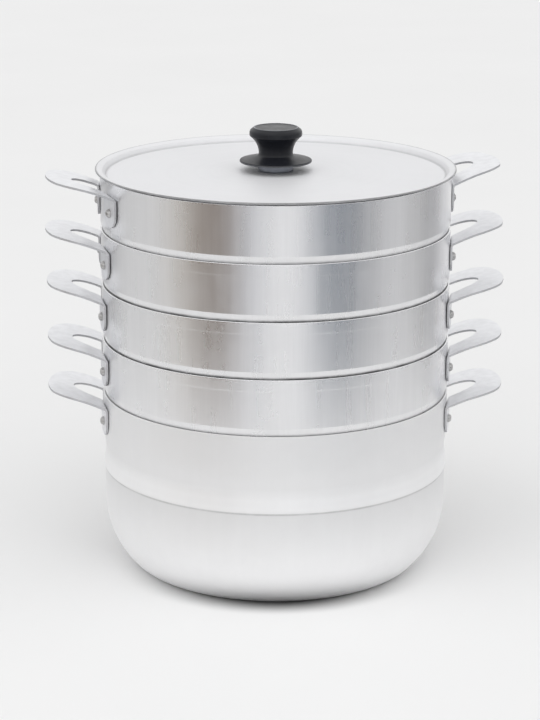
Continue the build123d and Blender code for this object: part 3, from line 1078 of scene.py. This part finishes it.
def light_surround(scene, studio):
    """The studio round the object: pale walls with dark gaps low down, and a white ceiling.

    The floor is lit from above and a little from the camera's side: with a the angle
    between the ray and that direction, the light is sky * cos(a)^1.6, less near the floor.
    """
    world = bpy.data.worlds.new("studio_surround")
    scene.world = world
    world.use_nodes = True
    world.node_tree.nodes.clear()
    s = Shading(world.node_tree)
    direction = s.add("ShaderNodeTexCoord").outputs["Generated"]
    camera_side = math.atan2(CAMERA_AT[1], CAMERA_AT[0])
    turn = {"Vector": direction, "Angle": -camera_side}
    facing = s.add("ShaderNodeVectorRotate", turn, rotation_type="Z_AXIS")
    x, y, z = s.parts(facing.outputs[0])
    bearing = s.math("MULTIPLY_ADD", s.math("ARCTAN2", y, x), 0.5 / math.pi, 0.5)
    ramp = s.add("ShaderNodeValToRGB", {0: bearing})
    stops = ramp.color_ramp.elements
    for end, (_, tone) in zip(stops, (BEARINGS[0], BEARINGS[-1])):
        end.color = tone + (1.0,)
    for angle, tone in BEARINGS[1:-1]:
        stops.new((angle + 180) / 360).color = tone + (1.0,)
    walls = s.blend(s.ease(z, -0.05, 0.22), ramp.outputs[0], (1.0, 1.0, 1.0, 1.0))
    lit = s.add("ShaderNodeBackground", {"Color": walls, "Strength": studio.surround}).outputs[0]
    facing_light = s.vector("DOT_PRODUCT", direction, SKY_AT)
    sky = s.math("POWER", s.math("MAXIMUM", facing_light, 0.0), 1.6)
    above = s.math("MULTIPLY", sky, s.spread(s.parts(direction)["Z"], 0.0, 0.25))
    soft = s.add("ShaderNodeBackground", {"Strength": s.math("MULTIPLY", above, studio.sky)}).outputs[0]
    is_diffuse = s.add("ShaderNodeLightPath").outputs["Is Diffuse Ray"]
    lit = s.add("ShaderNodeMixShader", {0: is_diffuse, 1: lit, 2: soft}).outputs[0]
    backdrop = {"Color": tuple(studio.backdrop) + (1.0,), "Strength": 1.0}
    plain = s.add("ShaderNodeBackground", backdrop).outputs[0]
    seen = s.add("ShaderNodeLightPath").outputs["Is Camera Ray"]
    mixed = s.add("ShaderNodeMixShader", {0: seen, 1: lit, 2: plain}).outputs[0]
    s.add("ShaderNodeOutputWorld", {"Surface": mixed})


def hang_softbox(scene, studio):
    """One broad softbox over the object, a little towards the camera."""
    lamp = bpy.data.lights.new("softbox", "AREA")
    lamp.shape = "RECTANGLE"
    lamp.size, lamp.size_y = 0.9, 0.6
    lamp.energy = studio.softbox
    box = bpy.data.objects.new("softbox", lamp)
    scene.collection.objects.link(box)
    box.location = (-0.5, -0.5, 2.2)
    box.rotation_euler = (math.radians(-14), math.radians(-12), 0)


CAMERA_AT = (-0.0677, -1.9538, 0.7294)
CAMERA_TURN = (88.15, -15.75, 0.12)  # its bearing, pitch and roll in degrees
FOCAL_PIXELS, FRAME_ROWS = 2326.1, 720


def aim_camera(scene):
    """The camera looks along (cos p cos b, cos p sin b, sin p), by its bearing b and pitch p."""
    bearing, pitch, roll = np.radians(CAMERA_TURN)
    flat = math.cos(pitch)
    ahead = np.array([flat * math.cos(bearing), flat * math.sin(bearing), math.sin(pitch)])
    level = np.cross(ahead, [0, 0, 1])
    level /= np.linalg.norm(level)
    above = np.cross(level, ahead)
    right = level * math.cos(roll) + above * math.sin(roll)
    up = above * math.cos(roll) - level * math.sin(roll)
    data = bpy.data.cameras.new("camera")
    data.sensor_fit = "VERTICAL"
    data.sensor_height = 24.0
    data.lens = FOCAL_PIXELS / FRAME_ROWS * data.sensor_height
    data.clip_end = 100
    camera = bpy.data.objects.new("camera", data)
    scene.collection.objects.link(camera)
    turn = np.stack([right, up, -ahead], axis=-1)
    camera.matrix_world = Matrix.Translation(CAMERA_AT) @ Matrix(turn.tolist()).to_4x4()
    scene.camera = camera


class STEAMER_PT_panel(bpy.types.Panel):
    """The steamer's sizes, colours and pieces"""

    bl_label = "Steamer"
    bl_idname = "STEAMER_PT_panel"
    bl_space_type = "VIEW_3D"
    bl_region_type = "UI"
    bl_category = "Steamer"

    def draw(self, context):
        for title, group_class in GROUPS.items():
            box, group = self.layout.box(), getattr(context.scene, title)
            for name in group_class.__annotations__:
                box.prop(group, name)
        for operator in OPERATORS:
            self.layout.operator(operator.bl_idname)


GROUPS = {"steamer_sizes": SteamerSizes, "steamer_finish": SteamerFinish, "steamer_studio": SteamerStudio}
OPERATORS = (
    STEAMER_OT_studio,
    STEAMER_OT_pot,
    STEAMER_OT_tiers,
    STEAMER_OT_handles,
    STEAMER_OT_rivets,
    STEAMER_OT_lid,
    STEAMER_OT_knob,
)


def register():
    for cls in tuple(GROUPS.values()) + OPERATORS + (STEAMER_PT_panel,):
        bpy.utils.register_class(cls)
    for name, cls in GROUPS.items():
        setattr(bpy.types.Scene, name, bpy.props.PointerProperty(type=cls))


def unregister():
    for name in GROUPS:
        delattr(bpy.types.Scene, name)
    for cls in (STEAMER_PT_panel,) + OPERATORS[::-1] + tuple(GROUPS.values()):
        bpy.utils.unregister_class(cls)


def main():
    register()
    for operator in OPERATORS:
        space, call = operator.bl_idname.split(".")
        getattr(getattr(bpy.ops, space), call)()


if __name__ == "__main__":
    main()
